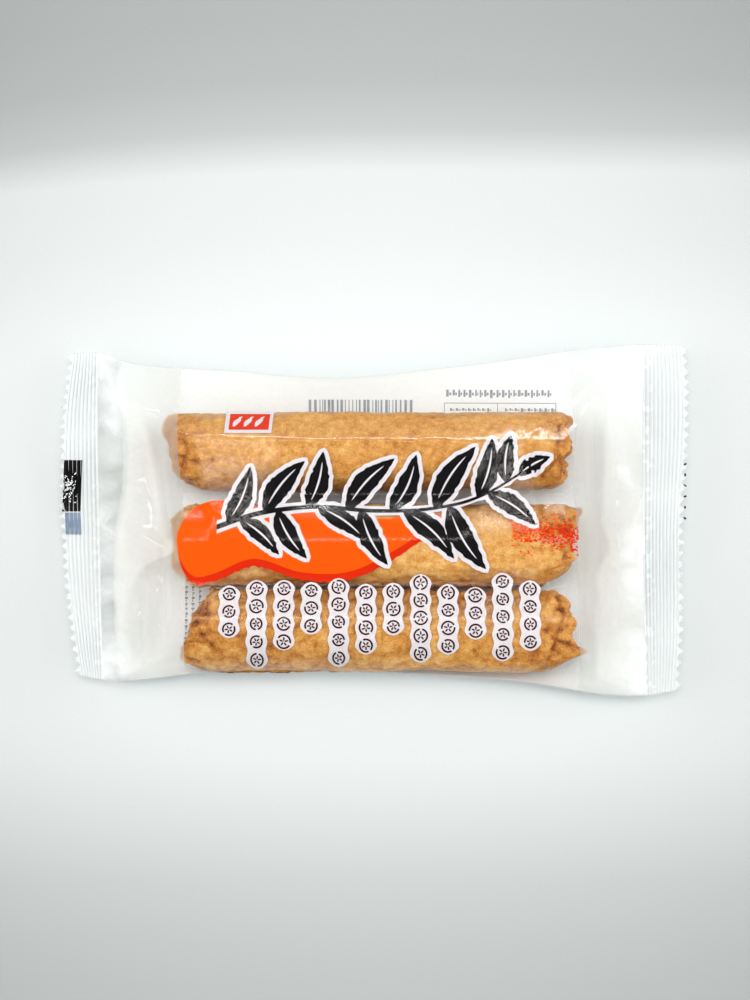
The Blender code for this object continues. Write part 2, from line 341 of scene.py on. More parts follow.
def facets(x, y, long, wide, slant, seed):
    """Random heights between -1 and 1, joined by flat triangles as in crumpled film."""
    table = np.random.default_rng(seed).uniform(-1, 1, 4096)
    u = (x + slant * y) / long + 0.5 * noise_on_film(x, y, long * 1.1, seed + 1) + 500
    v = y / wide + 0.5 * noise_on_film(x, y, wide * 2.2, seed + 2) + 500
    column, row = np.floor(u).astype(np.int64), np.floor(v).astype(np.int64)
    along, up = u - column, v - row

    def height(i, j):
        return table[((column + i) * 7919 ^ (row + j) * 104729) & 4095]

    flipped = (column + row) % 2 == 1
    along = np.where(flipped, 1 - along, along)
    start = np.where(flipped, height(1, 0), height(0, 0))
    end = np.where(flipped, height(0, 0), height(1, 0))
    above = np.where(flipped, height(1, 1), height(0, 1))
    corner = np.where(flipped, height(0, 1), height(1, 1))
    lower = start + (end - start) * along + (above - start) * up
    upper = corner + (above - corner) * (1 - along) + (end - corner) * (1 - up)
    return np.where(along + up < 1, lower, upper)


def distance_to(x, y, points):
    """Distance from places to a line through points, and how far along the line each lies, 0 to 1."""
    points = np.array(points, float)
    lengths = np.hypot(*(points[1:] - points[:-1]).T)
    starts = np.concatenate([[0], np.cumsum(lengths)])
    nearest = np.full(np.shape(x), np.inf)
    along = np.zeros(np.shape(x))
    for k, length in enumerate(lengths):
        step = (points[k + 1] - points[k]) / length
        run = np.clip((x - points[k, 0]) * step[0] + (y - points[k, 1]) * step[1], 0, length)
        away = np.hypot(x - points[k, 0] - run * step[0], y - points[k, 1] - run * step[1])
        closer = away < nearest
        nearest = np.where(closer, away, nearest)
        along = np.where(closer, (starts[k] + run) / starts[-1], along)
    return nearest, along


# ---------------------------------------------------------------- the shape of the film

far_fold, near_fold = curve(FAR_FOLD), curve(NEAR_FOLD)
left_tips, right_tips = curve(LEFT_TIPS), curve(RIGHT_TIPS)
left_inner, right_inner = curve(LEFT_INNER), curve(RIGHT_INNER)
clinging, bridging = creased(CLINGING, CREASE_RADII), creased(BRIDGING, CREASE_RADII)


def far_crest(x):
    """y of the film's sharp crest along the far roll, which wavers a little."""
    return curve(FAR_CREST_LINE)(x) + 0.22 * noise_on_film(x, 0 * x, 8, 2)


def share_across(x, y):
    near = near_fold(x)
    return np.clip((y - near) / (far_fold(x) - near), 0, 1)


def fold_heights(x, across):
    """Height of the line where the front and back films meet, blended across the bag."""
    left = x < 0
    wave = np.sin(2 * math.pi * SEAL_WAVES * across + np.where(left, 0.6, 2.4))
    seal = np.where(left, *SEAL_HEIGHTS) + SEAL_WAVE * wave
    inner = np.abs(np.where(left, left_inner(across), right_inner(across)))
    inwards = ease((inner - np.abs(x)) / FOLD_RUN)
    side = NEAR_FOLD_HEIGHT + (FAR_FOLD_HEIGHT - NEAR_FOLD_HEIGHT) * across
    return seal + (side - seal) * inwards


def rib_wave(x, across):
    """Height of the crimp ribs, which run across the bag along both seals."""
    root_left = left_tips(across) + TOOTH_DEPTH
    root_right = right_tips(across) - TOOTH_DEPTH
    phase_left = (x - root_left) / (left_inner(across) - root_left) * RIBS[0]
    phase_right = (x - right_inner(across)) / (root_right - right_inner(across)) * RIBS[1]
    phase = np.where(x < 0, phase_left, phase_right)
    in_seal = (x <= left_inner(across)) | (x >= right_inner(across))
    ridge = np.abs((phase % 1) * 2 - 1) - 0.5
    deep = 0.9 + 0.15 * noise_on_film(x, across * 80, 9, 5)
    return np.where(in_seal, ridge * RIB_HEIGHT * deep, 0)


def spans_flat(x, y):
    """How far the film spans flat between the far and middle rolls, 0 to 1, with a sharp edge outside."""
    total = 0
    for starts, ends, (start_run, end_run) in (LEFT_SPAN, RIGHT_SPAN):
        start, end = curve(starts)(y), curve(ends)(y)
        total = total + ease((x - start) / start_run) * ease((end - x) / end_run)
    return total


def end_rises(x, across):
    left, right = left_inner(across), right_inner(across)
    return np.minimum((x - left) / (CREST_LEFT - left), (right - x) / (right - CREST_RIGHT))


def film_front(x, y):
    """Height of the front film, in mm."""
    x, y = np.asarray(x, float), np.asarray(y, float)
    across = share_across(x, y)
    near, far = near_fold(x), far_fold(x)
    low = fold_heights(x, across) + FILM_GAP / 2
    end_rise = end_rises(x, across)
    crest = far_crest(x)
    slopes = [
        rise((far - y) / (far - crest), FAR_ROUND),
        rise((y - near) / (NEAR_CREST - near), NEAR_ROUND),
        rise(end_rise, END_ROUND),
    ]
    front = meet(slopes, FRONT_CREASE)
    flat = spans_flat(x, y)
    level = y - (crest - 18) * ease((y - 6) / 10)
    roof = clinging(level) * (1 - flat) + bridging(level) * flat
    top = low + (roof - low) * front

    open_share = ease(front * 5)
    end_share = np.clip(end_rise, 0, 1)
    gather = 4 * end_share * (1 - end_share) ** 2 * ease(front * 4)
    pleat = np.cos(2 * math.pi * PLEATS * across + np.where(x < 0, 0, 1.7) + 1.3 * noise_on_film(x, y, 14, 8))
    top = top + PLEAT_HEIGHT * 0.5 * gather * pleat
    for points, height, reach in CREASES:
        away, along = distance_to(x, y, points)
        ends = ease(along * 5 + 0.25) * ease((1 - along) * 5 + 0.25)
        top = top + height * np.maximum(0, 1 - away / reach) ** FOLD_SHARPNESS * ends * open_share
    loose = 0.12 + 0.88 * (1 - ease(end_share * 1.15))
    for k, (long, wide, slant, height) in enumerate(FACETS):
        top = top + open_share * loose * height * facets(x, y, long, wide, slant, 30 + 5 * k)
    from_seal = end_rise * (CREST_LEFT - LEFT_INNER[0][1])
    gathers = np.cos(2 * math.pi * GATHERS * across + 2.5 * noise_on_film(x, y, 11, 7))
    gathers = np.where(x < 0, *GATHER_HEIGHTS) * gathers
    top = top + gathers * ease(from_seal / 0.8) * (1 - ease(from_seal / 5.5))
    top = top + RIPPLE_HEIGHT * noise_on_film(x, y, RIPPLE_SIZE, 4) * open_share
    return top + rib_wave(x, across)


def film_back(x, y):
    """Height of the back film, in mm."""
    x, y = np.asarray(x, float), np.asarray(y, float)
    across = share_across(x, y)
    near, far = near_fold(x), far_fold(x)
    left, right = left_inner(across), right_inner(across)
    low = fold_heights(x, across) - FILM_GAP / 2
    back = meet([
        rise((far - y) / (far - BACK_FAR), BACK_ROUND),
        rise((y - near) / (BACK_NEAR - near), NEAR_ROUND),
        rise((x - left) / (BACK_LEFT - left), BACK_ROUND),
        rise((right - x) / (right - BACK_RIGHT), BACK_ROUND),
    ], BACK_CREASE)
    bottom = low * (1 - back)
    beside_seam = np.maximum(SEAM_FROM - across, across - SEAM_TO)
    over_seam = 1 - ease(beside_seam / SEAM_MARGIN)
    bottom = np.maximum(bottom, SEAM_ROOM * back * over_seam)
    return bottom + rib_wave(x, across)


# ---------------------------------------------------------------- meshes

def finish_mesh(name, mesh, materials):
    """A mesh in mm becomes a piece in metres that rides on the bag's body and stands for its solid."""
    places = np.empty(len(mesh.vertices) * 3)
    mesh.vertices.foreach_get("co", places)
    mesh.vertices.foreach_set("co", places * MM)
    mesh.name = name
    for material in materials:
        mesh.materials.append(material)
    mesh.update()
    mesh.shade_smooth()
    piece = bpy.data.objects.new(name, mesh)
    bpy.context.scene.collection.objects.link(piece)
    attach(piece, "root")
    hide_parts(BAG)
    return piece


def places_of(mesh):
    places = np.empty(len(mesh.vertices) * 3)
    mesh.vertices.foreach_get("co", places)
    return places.reshape(-1, 3)


def bag_columns():
    """The part that each column of the bag's grid is in (0 left seal, 1 rolls, 2 right seal), and its share
    of the way through that part."""
    left = [(0, i / (RIBS[0] * COLUMNS_PER_RIB)) for i in range(RIBS[0] * COLUMNS_PER_RIB)]
    over_rolls = 180
    even = [i / over_rolls for i in range(over_rolls)]
    rolls = [(1, s - 0.42 * math.sin(2 * math.pi * s) / (2 * math.pi)) for s in even]
    right = [(2, i / (RIBS[1] * COLUMNS_PER_RIB)) for i in range(RIBS[1] * COLUMNS_PER_RIB + 1)]
    return np.array(left + rolls + right).T


def bag_grid(first_row, last_row):
    """x, y and share across of the bag's grid points, as arrays of columns by rows."""
    part, share = bag_columns()
    rows = TEETH * ROWS_PER_TOOTH
    across = np.arange(first_row, last_row + 1) / rows
    edges = [
        left_tips(across) + TOOTH_DEPTH,
        left_inner(across),
        right_inner(across),
        right_tips(across) - TOOTH_DEPTH,
    ]
    part = part.astype(int)
    starts, ends = np.array(edges)[part], np.array(edges)[part + 1]
    x = starts + (ends - starts) * share[:, None]
    near, far = near_fold(x), far_fold(x)
    return x, near + (far - near) * across[None, :], np.broadcast_to(across[None, :], x.shape)


def two_sided_grid(columns, rows):
    """A flat grid thickened to two layers and closed round its edges, with each vertex's column, row and
    layer."""
    bm = bmesh.new()
    bmesh.ops.create_grid(bm, x_segments=columns - 1, y_segments=rows - 1, size=1)
    column_of, row_of, front = (bm.verts.layers.int.new(n) for n in ("column", "row", "front"))
    for vert in bm.verts:
        vert[column_of] = round((vert.co.x + 1) / 2 * (columns - 1))
        vert[row_of] = round((vert.co.y + 1) / 2 * (rows - 1))
    lower = list(bm.faces)
    lifted = bmesh.ops.extrude_face_region(bm, geom=lower, use_keep_orig=True)["geom"]
    for item in lifted:
        if isinstance(item, bmesh.types.BMVert):
            item[front] = 1
            item.co.z = 1
    bmesh.ops.recalc_face_normals(bm, faces=bm.faces)
    mesh = bpy.data.meshes.new("grid")
    bm.to_mesh(mesh)
    bm.free()
    layers = []
    for name in ("column", "row", "front"):
        values = np.empty(len(mesh.vertices), np.int32)
        mesh.attributes[name].data.foreach_get("value", values)
        mesh.attributes.remove(mesh.attributes[name])
        layers.append(values)
    return mesh, layers


def rib_foot_shade(x, across):
    """Painted shade: a fine grey line in the trough at the foot of each crimp rib, 0 to 1, stronger in some
    places than in others.
    """
    height = rib_wave(x, across) / RIB_HEIGHT
    foot = ease((-0.12 - height) / 0.3)
    return foot * (0.6 + 0.4 * noise_on_film(x * 0.4, across * 80, 9, 51))


def film_haze_and_glare(x, y, across):
    """How milky the film is: clear over the rolls, most in the seals, and beside the seals in facet-shaped
    patches that are partly the haze of creased film and partly painted glare of its facets.
    """
    from_seal = np.minimum(x - left_inner(across), right_inner(across) - x)
    # Facet-shaped milky patches beside the seals: partly haze of creased film, partly painted glare
    haze_and_facet_glare = 0.22 + 0.4 * facets(x, y, 9.0, 6.0, 0.4, 71) + 0.12 * facets(x, y, 4.0, 3.0, -0.3, 77)
    crushed = ease((noise_on_film(x, y, 1.2, 57) - 0.3) / 0.15) * np.exp(-((from_seal + 0.6) / 1.4) ** 2)
    in_seal = 0.40 + 0.10 * noise_on_film(x * 0.5, y, 14, 53) + np.where(x < 0, 0.08, 0.2) * crushed
    haze_and_glare_by_seals = haze_and_facet_glare * (1 - ease((from_seal - 3) / 9))
    return np.clip(np.where(from_seal <= 0, in_seal, haze_and_glare_by_seals), 0.004, 0.6)


def film_bag(materials):
    """The closed bag: front and back films, their crimped seals and the zigzag cut edges."""
    x, y, across = bag_grid(0, TEETH * ROWS_PER_TOOTH)
    mesh, (column, row, front) = two_sided_grid(*x.shape)
    top, bottom = film_front(x, y), film_back(x, y)
    tooth = 1 - np.abs((across[0] * TEETH % 1) * 2 - 1)
    notched = TOOTH_DEPTH * (0.85 + 0.15 * np.cos(np.arange(len(tooth)) // ROWS_PER_TOOTH * 2.4))
    x = x.copy()
    x[0] -= tooth * notched
    x[-1] += tooth * notched
    curl = 0.5 * tooth * np.sin(np.arange(len(tooth)) / ROWS_PER_TOOTH * 2.1)
    for edge in (0, -1):
        top[edge] += curl
        bottom[edge] += curl
    z = np.where(front == 1, top[column, row], bottom[column, row])
    places = np.stack([x[column, row], y[column, row], z], axis=1)
    mesh.vertices.foreach_set("co", places.ravel())
    for name, values in (("painted_rib_shade", rib_foot_shade(x, across)), ("haze_and_glare", film_haze_and_glare(x, y, across))):
        layer = mesh.attributes.new(name, "FLOAT", "POINT")
        layer.data.foreach_set("value", values[column, row].astype(np.float32))
    part, _ = bag_columns()
    sealed = part != 1
    for face in mesh.polygons:
        columns = column[face.vertices[0]], column[face.vertices[2]]
        face.material_index = int(sealed[min(columns)])
    return finish_mesh("film_bag_skin", mesh, materials)


def under_front(x, y, depth):
    """Height of ink on the inside of the front film, which stays off the back film near folds and seals."""
    front = film_front(x, y)
    return front - np.minimum(depth, 0.4 * (front - film_back(x, y)))


def over_back(x, y, depth):
    """Height of ink on the inside of the back film."""
    back = film_back(x, y)
    return back + np.minimum(depth, 0.3 * (film_front(x, y) - back))


def ink_sheet(name, left, right, height, material, columns=200, rows=150):
    """A sheet of white ink inside the bag, between two lines across it, following the film."""
    bm = bmesh.new()
    bmesh.ops.create_grid(bm, x_segments=columns, y_segments=rows, size=0.5)
    mesh = bpy.data.meshes.new(name)
    bm.to_mesh(mesh)
    bm.free()
    u, v, _ = (places_of(mesh) + 0.5).T
    across = 0.004 + 0.992 * v
    start, end = curve(left)(across), curve(right)(across)
    x = start + (end - start) * u
    near, far = near_fold(x), far_fold(x)
    y = near + (far - near) * across
    mesh.vertices.foreach_set("co", np.stack([x, y, height(x, y)], axis=1).ravel())
    # Painted shade on the white ink beside the rolls: softened towards the folds, and weaker low on the left
    beside = ease((x - curve(PAINTED_SHADE_LEFT)(y)) / PAINTED_SHADE_EDGE) * ease((curve(PAINTED_SHADE_RIGHT)(y) - x) / PAINTED_SHADE_EDGE)
    beside = beside * ease((y - near) / 7) * ease((28 - y) / 10)
    beside = beside * np.where(x < 0, 0.35 + 0.65 * ease((y + 18) / 6), 0.85)
    painted_shade = mesh.attributes.new("painted_shade", "FLOAT", "POINT")
    painted_shade.data.foreach_set("value", beside.astype(np.float32))
    return finish_mesh(name, mesh, [material])


def on_front(x, y, depth):
    return film_front(x, y) + depth


def under_back(x, y, depth):
    return film_back(x, y) - depth


def back_seam(material):
    """The back seam: two films sealed face to face and folded flat under the back, from seal to seal."""
    rows = TEETH * ROWS_PER_TOOTH
    x, y, across = bag_grid(round(SEAM_FROM * rows), round(SEAM_TO * rows))
    mesh, (column, row, front) = two_sided_grid(*x.shape)
    under = film_back(x, y) - SEAM_GAP
    ribs = SEAM_RIB * np.cos(np.arange(x.shape[1]) * math.pi / 2)[None, :]
    top, bottom = under + ribs, under - SEAM_THICK + ribs
    z = np.where(front == 1, top[column, row], bottom[column, row])
    places = np.stack([x[column, row], y[column, row], np.maximum(z, OFF_FLOOR)], axis=1)
    mesh.vertices.foreach_set("co", places.ravel())
    return finish_mesh("back_seam", mesh, [material])


def fried_roll(name, roll, material):
    """A fried roll: a turned, slightly square bar with blunt lumpy ends and a wrinkled skin."""
    corner, step, around = 2.8, 0.44, 154
    face = np.arange(0, roll["wide"] - corner, step)
    turn = np.linspace(math.pi / 2, 0, 13)
    cap = [(NOMINAL_END, r) for r in face]
    for t in turn:
        cap.append((NOMINAL_END - corner * (1 - math.sin(t)), roll["wide"] - corner * (1 - math.cos(t))))
    straight = NOMINAL_END - corner
    side = np.linspace(straight, -straight, round(2 * straight / step))[1:-1]
    profile = cap + [(x, roll["wide"]) for x in side] + [(-x, r) for x, r in reversed(cap)]

    bm = bmesh.new()
    verts = [bm.verts.new((x, r, 0)) for x, r in profile]
    edges = [bm.edges.new(pair) for pair in zip(verts, verts[1:])]
    bmesh.ops.spin(bm, geom=verts + edges, cent=(0, 0, 0), axis=(1, 0, 0), angle=2 * math.pi,
                   steps=around, use_merge=True)
    bmesh.ops.remove_doubles(bm, verts=bm.verts, dist=1e-4)
    bmesh.ops.recalc_face_normals(bm, faces=bm.faces)
    mesh = bpy.data.meshes.new(name)
    bm.to_mesh(mesh)
    bm.free()

    places, ends = real_outline(places_of(mesh), roll)
    mesh.vertices.foreach_set("co", places.ravel())
    mesh.update()
    relief, browning_and_shade = skin_relief(places, ends, roll)
    normals = np.empty(len(mesh.vertices) * 3)
    mesh.vertices.foreach_get("normal", normals)
    places = places + normals.reshape(-1, 3) * relief[:, None]
    floor = film_back(places[:, 0], places[:, 1]) + UNDER_ROLL
    front = film_front(places[:, 0], places[:, 1])
    # Painted haze: where the film spans clear of the roll, grainy patches of skin are painted paler, for
    # light the film scatters over the gap
    patchy = 0.5 + 0.5 * noise(places, 4.5, roll["seed"] + 9)
    painted_haze = spans_flat(places[:, 0], places[:, 1]) * ease((front - places[:, 2] - 0.1) / 1.4) * patchy
    ceiling = np.maximum(front - OVER_ROLL, floor + 0.3)
    places[:, 2] = np.clip(places[:, 2], floor, ceiling)
    mesh.vertices.foreach_set("co", places.ravel())
    browning_and_shade_layer = mesh.attributes.new("browning_and_shade", "FLOAT", "POINT")
    browning_and_shade_layer.data.foreach_set("value", browning_and_shade.astype(np.float32))
    painted_haze_layer = mesh.attributes.new("painted_haze", "FLOAT", "POINT")
    painted_haze_layer.data.foreach_set("value", painted_haze.astype(np.float32))
    return finish_mesh(name, mesh, [material])


def real_outline(places, roll):
    """A turned bar brought to a roll's real section, line and ends; and how near each place is to an end."""
    seed = roll["seed"]
    x, y, z = places.T
    radius = np.maximum(np.hypot(y, z), 1e-9)
    squarer = (np.abs(y / radius) ** SQUARENESS + np.abs(z / radius) ** SQUARENESS) ** (-1 / SQUARENESS)
    line = np.stack([x, np.zeros_like(x), np.zeros_like(x)], axis=1)
    width = 1 + 0.022 * noise(line, 17, seed) + 0.014 * noise(line, 6, seed + 1)
    bend = 0.35 * noise(line, 45, seed + 2)
    across = roll["y"] + bend + y * squarer * width
    up = roll["high"] + UNDER_ROLL + z * squarer * width * roll["high"] / roll["wide"]
    ends = ease((np.abs(x) - (NOMINAL_END - 9)) / 9)
    left, right = curve(roll["left"])(across), curve(roll["right"])(across)
    reach = np.where(x < 0, left + NOMINAL_END, right - NOMINAL_END)
    lumps = 1.1 * noise(places, 4.2, seed + 3) + 0.5 * noise(places, 1.9, seed + 4)
    return np.stack([x + ends * (reach + lumps), across, up], axis=1), ends


def skin_relief(places, ends, roll):
    """How far the fried skin stands out, in mm, and how dark it is, from 0 pale to 1 dark: browner at its
    ends and in patches, darker in its grooves, and painted darker low on its sides as shade.
    """
    seed = roll["seed"]
    folds = np.maximum(0, 1 - 3 * np.abs(noise(places * [0.7, 1, 1], 5.2, seed + 5)))
    wrinkles = np.maximum(0, 1 - 3 * np.abs(noise(places * [0.75, 1.1, 1.1], 2.4, seed + 6)))
    blisters = noise(places, 1.2, seed + 7)
    patches = noise(places * [0.6, 1, 1], 9, seed + 8)
    relief = (0.17 + 0.08 * ends) * blisters - (0.22 + 0.5 * ends) * folds - (0.2 + 0.25 * ends) * wrinkles
    relief = relief * roll["rough"]
    creased_in = np.zeros(len(places))
    for points, depth, reach in SKIN_FOLDS:
        away, _ = distance_to(places[:, 0], places[:, 1], points)
        groove = np.maximum(0, 1 - away / reach) ** 1.5 * ease((places[:, 2] - 8) / 5)
        beside = np.exp(-((away / reach - 1.3) / 0.8) ** 2) * ease((places[:, 2] - 8) / 5)
        relief = relief - depth * groove + 0.35 * depth * beside
        creased_in = np.maximum(creased_in, groove)
    # Painted shade: the skin is painted darker low on the roll's sides
    low = ease((11 - places[:, 2]) / 9)
    browning_and_shade = 0.42 + roll["dark"] + 0.09 * patches
    browning_and_shade = browning_and_shade + roll["rough"] * (0.08 * folds + 0.15 * wrinkles - 0.13 * blisters)
    return relief, np.clip(browning_and_shade + 0.12 * ends + 0.14 * low + 0.27 * creased_in, 0, 1)


# ---------------------------------------------------------------- print

def oriented_up(face):
    face.normal_update()
    if face.normal.z < 0:
        face.normal_flip()


def print_sheet(name, outlines, material, cell=PRINT_CELL, height=under_front):
    """Printed shapes from outlines of (x, y) points, cut into cells and laid along the film."""
    bm = bmesh.new()
    for outline in outlines:
        oriented_up(bm.faces.new([bm.verts.new((x, y, 0)) for x, y in outline]))
    flat = np.array([vert.co for vert in bm.verts])
    for axis in (0, 1):
        normal = np.eye(3)[axis]
        first = math.ceil(flat[:, axis].min() / cell)
        for place in np.arange(first * cell, flat[:, axis].max(), cell):
            crossed = [f for f in bm.faces if min(v.co[axis] for v in f.verts) < place
                       < max(v.co[axis] for v in f.verts)]
            corners = {v for f in crossed for v in f.verts}
            geom = crossed + list({e for f in crossed for e in f.edges} | corners)
            bmesh.ops.bisect_plane(bm, geom=geom, dist=1e-5, plane_co=normal * place, plane_no=normal)
    bmesh.ops.triangulate(bm, faces=bm.faces)
    mesh = bpy.data.meshes.new(name)
    bm.to_mesh(mesh)
    bm.free()
    places = places_of(mesh)
    places[:, 2] = height(places[:, 0], places[:, 1], INK_DEPTHS[name])
    mesh.vertices.foreach_set("co", places.ravel())
    return finish_mesh(name, mesh, [material])


def grown(outline, distance):
    """The outline moved outwards by a distance, for a border round a printed shape."""
    points = np.array(outline, float)
    ahead, behind = np.roll(points, -1, axis=0), np.roll(points, 1, axis=0)
    tangent = ahead - behind
    tangent /= np.maximum(np.hypot(*tangent.T), 1e-9)[:, None]
    area = np.sum(points[:, 0] * ahead[:, 1] - ahead[:, 0] * points[:, 1])
    outwards = np.stack([tangent[:, 1], -tangent[:, 0]], axis=1) * math.copysign(1, area)
    return points + outwards * distance


def brush_leaf(root, direction, length, width, bend, seed=1, points=64):
    """Outline of one brushed leaf from its root to its tip, a little ragged, and its pale middle vein."""
    rng = np.random.default_rng(seed)
    angle = math.radians(direction)
    along = np.array([math.cos(angle), math.sin(angle)])
    side = np.array([-along[1], along[0]])

    def spine(share):
        bowed = np.outer(np.sin(math.pi * share) * bend, side)
        return np.array(root) + np.outer(share * length, along) + bowed

    share = np.linspace(0, 1, points)
    fullness = np.sin(math.pi * share**0.85) ** 0.8 * (1 - 0.25 * share)
    fullness[0] = fullness[-1] = 0
    ragged = np.interp(share, np.linspace(0, 1, 22), rng.uniform(-1, 1, 22)) * 0.22 * (fullness > 0.2)
    outline = [spine(share) + np.outer(sign * (width / 2 * fullness) + ragged, side) for sign in (1, -1)]
    inner = np.linspace(0.14, 0.82, 24)
    taper = 0.24 * np.sin(math.pi * np.linspace(0.02, 0.98, 24)) ** 0.6
    vein = [spine(inner) + np.outer(sign * taper, side) for sign in (1, -1)]
    return [np.concatenate([a, b[-2:0:-1]]) for a, b in (outline, vein)]


def ellipse(x, y, long, short, angle, points=10):
    turn = np.linspace(0, 2 * math.pi, points, endpoint=False)
    flat = np.stack([np.cos(turn) * long / 2, np.sin(turn) * short / 2], axis=1)
    c, s = math.cos(angle), math.sin(angle)
    return flat @ np.array([[c, s], [-s, c]]) + [x, y]


def rectangle(x0, y0, x1, y1, lean=0.0):
    return np.array([(x0, y0), (x1, y0), (x1 + lean, y1), (x0 + lean, y1)])


def wave_band():
    """Outline of the orange band over the middle roll, and of the darker shade along its lower edge."""
    upper = curve([
        (-49.0, -1.0), (-45.5, 1.2), (-38, 3.0), (-26, 1.2), (-12, 2.4), (2, -1.4), (11, 0.2), (17, -0.6),
    ])
    lower = curve([
        (-49.0, -15.6), (-44.5, -16.0), (-40, -15.0), (-30, -11.2), (-18, -14.4), (-6, -14.2), (6, -8.4),
        (17, -0.8),
    ])
    round_x, round_y, radius = -42.0, -6.2, 6.3  # the middle of its round left end
    cap = round_x - radius * np.cos(np.linspace(0, math.pi / 2, 14))
    x = np.concatenate([cap, np.arange(-41.4, 17.1, 0.8)])
    full = np.sqrt(np.clip(1 - ((round_x - np.minimum(x, round_x)) / radius) ** 2, 0, 1))
    ragged = 0.12 * np.random.default_rng(4).uniform(-1, 1, len(x))
    top = np.stack([x, round_y + (upper(x) - round_y) * full + ragged * (full > 0.5)], axis=1)
    bottom = np.stack([x, round_y + (lower(x) - round_y) * full], axis=1)[1:-1]
    shade = bottom - [-0.25, 1.9]
    shade[:, 1] += 0.25 * np.random.default_rng(5).uniform(-1, 1, len(shade))
    return np.concatenate([top, bottom[::-1]]), np.concatenate([bottom + [0, 0.6], shade[::-1]])


def dry_flecks():
    """Flecks where the brush ran short of ink beyond the band, in red and orange."""
    rng = np.random.default_rng(9)
    flecks = [], []
    for _ in range(420):
        x = rng.uniform(33, 49.5)
        y = -5.0 + rng.normal(0, 1.9) - (x - 41) * 0.08
        fleck = ellipse(x, y, rng.uniform(0.4, 1.3), rng.uniform(0.2, 0.5), rng.uniform(-1.2, 1.2), 7)
        flecks[int(rng.uniform(34, 50) > x)].append(fleck)
    return flecks


def twig(points, wide):
    """Outline of the branch's thin twig, tapered to its end."""
    x = np.linspace(points[0][0], points[-1][0], 60)
    half = wide / 2 * (1 - 0.5 * np.linspace(0, 1, 60))
    middle = curve(points)(x)
    upper, lower = np.stack([x, middle + half], axis=1), np.stack([x, middle - half], axis=1)
    return np.concatenate([upper, lower[::-1]])


def leafy_branch():
    """The big black print: brushed leaves along a twig. Gives their outlines and their veins."""
    along = curve(TWIG)
    leaves = [brush_leaf((x, float(along(x))), *leaf, seed=60 + k) for k, (x, *leaf) in enumerate(LEAVES)]
    return zip(*leaves)


def slice_mark(x, y, radius, turn):
    """A small round slice in line: its rim, in two arcs, and the rays inside it."""
    parts = []
    for start in (0.15, math.pi + 0.15):
        angles = turn + start + np.linspace(0, math.pi - 0.35, 12)
        ring = np.stack([np.cos(angles), np.sin(angles)], axis=1)
        parts.append(np.concatenate([ring * (radius + 0.22), ring[::-1] * (radius - 0.22)]) + [x, y])
    for k in range(5):
        angle = turn + k * 2 * math.pi / 5
        ray = np.array([math.cos(angle), math.sin(angle)]) * radius * 0.42
        parts.append(ellipse(x + ray[0], y + ray[1], radius * 0.62, 0.42, angle, 8))
    return parts


def caption_columns():
    """White columns along the near roll, and the small brown slices printed on them."""
    labels, marks = [], []
    rng = np.random.default_rng(12)
    pitch = 4.3
    for k in range(12):
        x = -35.4 + 6.64 * k
        blobs = 3 + k * 5 % 3
        top = -15.4 - 1.1 * (5 - blobs) - 0.9 * math.sin(k * 1.7)
        length = blobs * pitch
        share = np.linspace(0, 1, 16 * blobs)
        waist = 0.24 * np.cos(2 * math.pi * blobs * share + math.pi)
        cap = np.minimum(1, np.minimum(share, 1 - share) * length / 2.2)
        half = (2.42 + waist) * np.sqrt(np.clip(1 - (1 - cap) ** 2, 0, 1))
        y = top - share * length
        labels.append(np.concatenate([np.stack([x - half, y], 1), np.stack([x + half, y], 1)[-2:0:-1]]))
        for b in range(blobs):
            middle = top - (b + 0.5) * pitch
            marks += slice_mark(x, middle, rng.uniform(1.35, 1.6), rng.uniform(0, math.pi))
    return labels, marks


def back_table():
    """Print on the back panel: plain stripes, and the rules of an empty table with dashes in its cells."""
    rng = np.random.default_rng(15)
    stripes, rules = [], []
    x = -16.8
    while x < 9.6:
        wide = 0.22 * rng.integers(1, 4)
        stripes.append(rectangle(x, 17.0, x + wide, 30.4))
        x += wide + 0.24 * rng.integers(1, 4)
    for row in range(7):
        y = 29.6 - 3.1 * row
        rules.append(rectangle(17.5, y, 46.0, y + 0.16))
        if row < 6:
            rules += dashes(rng, 19.0, 29.0, y - 1.6, 0.9)
            rules += dashes(rng, 33.0, 45.0, y - 1.6, 0.9)
    for x in (17.5, 31.0, 45.8):
        rules.append(rectangle(x, 11.0, x + 0.16, 29.6))
    rules += dashes(rng, 18.0, 45.0, 31.9, 2.0)
    for column in range(3):
        marks = dashes(rng, 16.6, 33.0, 0, 0.8)
        rules += [m[:, ::-1] * [1, -1] + [-47.6 + 1.7 * column, 0] for m in marks]
    return stripes, rules


def dashes(rng, start, end, y, tall):
    """A line of small plain dashes, as blind text."""
    made = []
    while start < end:
        wide = rng.uniform(0.7, 1.4)
        made.append(rectangle(start, y - tall / 2 * rng.uniform(0.3, 1), start + wide * 0.5, y + tall / 2))
        made.append(rectangle(start + wide * 0.6, y - tall / 6, start + wide, y + tall / 6))
        start += wide + 0.35
    return made


def cut_mark():
    """The dark cutting mark on the left seal: a black block and a blue-grey one."""
    return [rectangle(-78.6, 1.9, -74.0, 14.8, 0.4)], [rectangle(-77.6, -3.9, -73.7, 1.6, -0.3)]


def worn_flecks():
    """Flecks where the mark on the left seal has rubbed off."""
    rng = np.random.default_rng(31)
    flecks = []
    for _ in range(70):
        x, y = -76.9 + rng.normal(0, 0.9), 7.4 + rng.normal(0, 1.7)
        if -78.5 < x < -74.4:
            long, short, angle = rng.uniform(0.25, 0.8), rng.uniform(0.15, 0.35), rng.uniform(0, 3)
            flecks.append(ellipse(x, y, long, short, angle, 6))
    return flecks


def tooth_dots():
    """Remains of the next bag's mark on the tips of the right teeth."""
    return [ellipse(77.75 - 0.05 * k, 13.6 - 2.72 * k, 0.9, 0.5, 0.5 + k, 8) for k in range(6)]


# ---------------------------------------------------------------- materials

